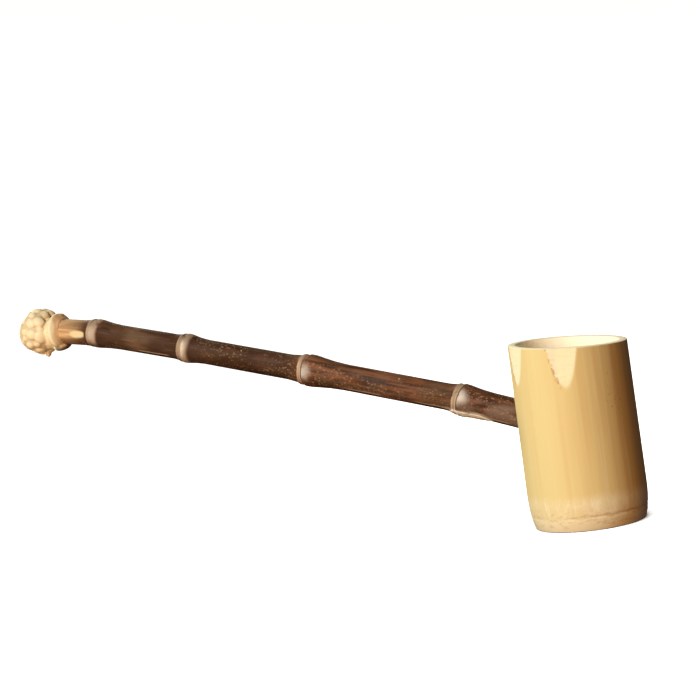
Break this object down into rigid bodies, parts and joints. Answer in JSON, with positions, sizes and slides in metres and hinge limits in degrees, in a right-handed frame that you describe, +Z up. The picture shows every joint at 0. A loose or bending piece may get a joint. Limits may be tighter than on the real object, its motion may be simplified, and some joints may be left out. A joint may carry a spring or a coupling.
{
  "type": "water dipper",
  "caption": "Bamboo water dipper: a round culm cup with an oblique rim and pouring flats, and a long rising culm handle that ends in a root knob, locked by a peg.",
  "frame": {"origin": "centre of the foot, on the plane that the cup stands on", "axes": "+Z up along the cup's axis; the handle leaves the cup towards -X and rises"},
  "size_m": [0.3566, 0.0558, 0.1331],
  "materials": {
    "cup_bamboo": "pale gold bamboo with the skin taken off, fine upright fibre, satin",
    "handle_bamboo": "dark mottled bamboo skin, waxy satin; neck and root knob pale tan, matt",
    "peg_bamboo": "whittled bamboo, matt"
  },
  "bodies": {
    "root": {"cup": "cup_bamboo", "handle": "handle_bamboo", "locking_peg": "peg_bamboo"}
  },
  "joints": []
}
